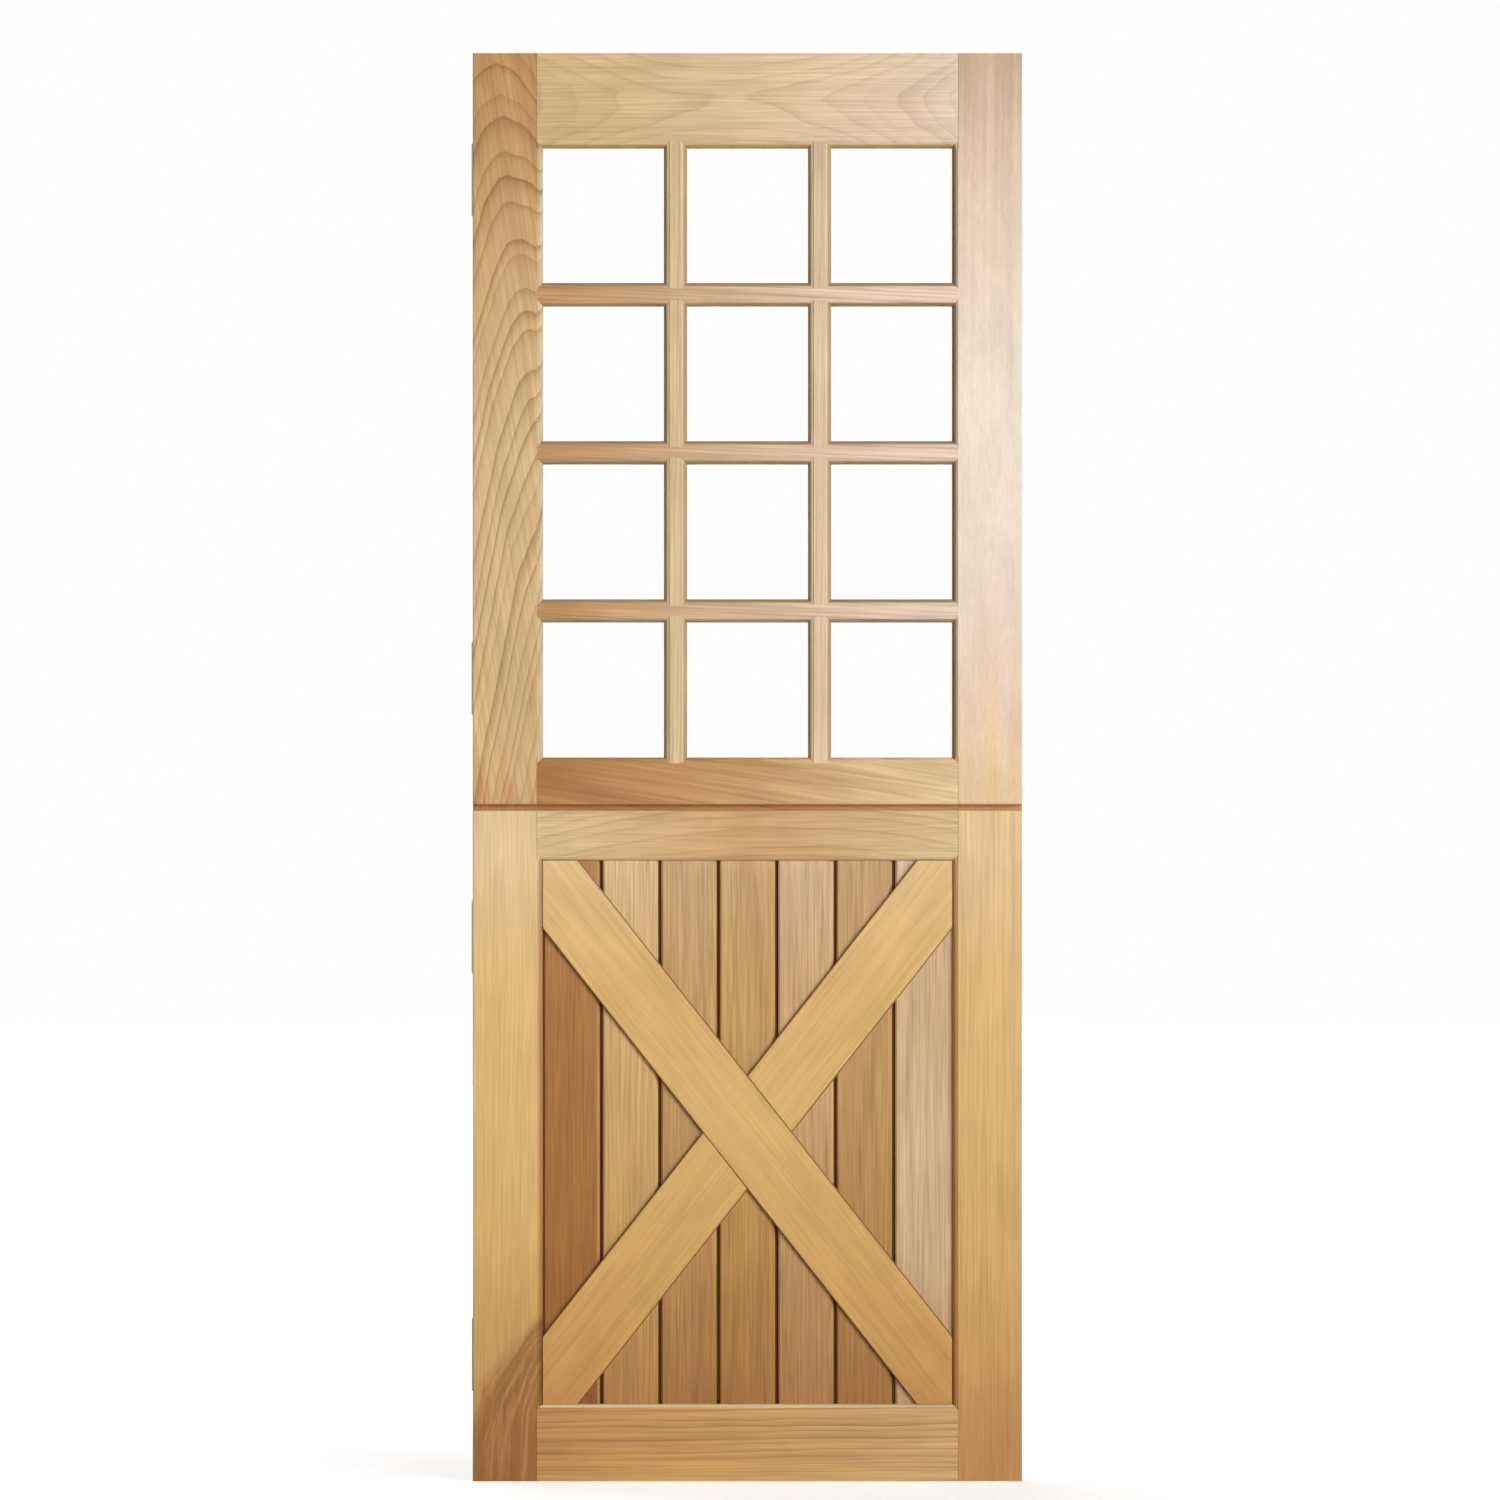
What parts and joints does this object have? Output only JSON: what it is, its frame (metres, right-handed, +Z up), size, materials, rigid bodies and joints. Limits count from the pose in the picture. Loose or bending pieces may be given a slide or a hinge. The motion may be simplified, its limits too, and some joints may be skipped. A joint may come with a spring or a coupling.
{
  "type": "dutch stable door",
  "caption": "Timber stable door in two leaves on butt hinges: glazed upper leaf with glazing bars, boarded lower leaf with crossed braces, rebated meeting edge and a leaf bolt.",
  "frame": {"origin": "middle of the door's foot, half way through its thickness", "axes": "+X across the door from the hinge side to the lock side, +Y from the front to the back, +Z up"},
  "size_m": [0.764, 0.0608, 1.981],
  "materials": {
    "honey_timber": "planed and lightly oiled",
    "golden_timber": "planed and lightly oiled",
    "pale_timber": "planed and lightly oiled",
    "reddish_timber": "planed and lightly oiled",
    "brown_timber": "planed and lightly oiled",
    "clear_glass": "clear float glass",
    "satin_steel": "satin"
  },
  "bodies": {
    "jamb_side": {"upper_leaf_top_hinge_jamb_flap": "satin_steel", "upper_leaf_top_hinge_pin": "satin_steel", "upper_leaf_bottom_hinge_jamb_flap": "satin_steel", "upper_leaf_bottom_hinge_pin": "satin_steel", "lower_leaf_top_hinge_jamb_flap": "satin_steel", "lower_leaf_top_hinge_pin": "satin_steel", "lower_leaf_bottom_hinge_jamb_flap": "satin_steel", "lower_leaf_bottom_hinge_pin": "satin_steel"},
    "lower_leaf": {"lower_hinge_stile": "honey_timber", "lower_lock_stile": "honey_timber", "lower_meeting_rail": "pale_timber", "bottom_rail": "golden_timber", "board_1": "reddish_timber", "board_2": "golden_timber", "board_3": "reddish_timber", "board_4": "golden_timber", "board_5": "reddish_timber", "board_6": "brown_timber", "board_7": "pale_timber", "long_brace": "golden_timber", "upper_half_brace": "golden_timber", "lower_half_brace": "golden_timber", "lower_leaf_top_hinge_door_flap": "satin_steel", "lower_leaf_bottom_hinge_door_flap": "satin_steel", "lower_leaf_hinge_screws": "satin_steel", "bolt_keeper": "satin_steel", "bolt_keeper_screws": "satin_steel"},
    "upper_leaf": {"upper_hinge_stile": "honey_timber", "upper_lock_stile": "pale_timber", "top_rail": "golden_timber", "upper_meeting_rail": "honey_timber", "level_glazing_bar_1": "pale_timber", "level_glazing_bar_2": "pale_timber", "level_glazing_bar_3": "pale_timber", "upright_glazing_bar_1": "pale_timber", "upright_glazing_bar_2": "pale_timber", "glass_pane_1_1": "clear_glass", "glass_pane_1_2": "clear_glass", "glass_pane_1_3": "clear_glass", "glass_pane_2_1": "clear_glass", "glass_pane_2_2": "clear_glass", "glass_pane_2_3": "clear_glass", "glass_pane_3_1": "clear_glass", "glass_pane_3_2": "clear_glass", "glass_pane_3_3": "clear_glass", "glass_pane_4_1": "clear_glass", "glass_pane_4_2": "clear_glass", "glass_pane_4_3": "clear_glass", "glazing_beads_row_1": "pale_timber", "glazing_beads_row_2": "pale_timber", "glazing_beads_row_3": "pale_timber", "glazing_beads_row_4": "pale_timber", "upper_leaf_top_hinge_door_flap": "satin_steel", "upper_leaf_bottom_hinge_door_flap": "satin_steel", "upper_leaf_hinge_screws": "satin_steel", "bolt_plate": "satin_steel", "bolt_plate_screws": "satin_steel"},
    "bolt": {"bolt_bar": "satin_steel"}
  },
  "joints": [
    {"name": "lower_leaf_swing", "type": "hinge", "parent": "jamb_side", "child": "lower_leaf", "pos_m": [-0.378, 0.0275, 0], "axis": [0, 0, 1], "range_deg": [0, 90]},
    {"name": "upper_leaf_swing", "type": "hinge", "parent": "lower_leaf", "child": "upper_leaf", "pos_m": [-0.378, 0.0275, 0], "axis": [0, 0, 1], "range_deg": [0, 90]},
    {"name": "bolt_slide", "type": "slide", "parent": "upper_leaf", "child": "bolt", "axis": [0, 0, -1], "range_m": [0, 0.03]}
  ]
}
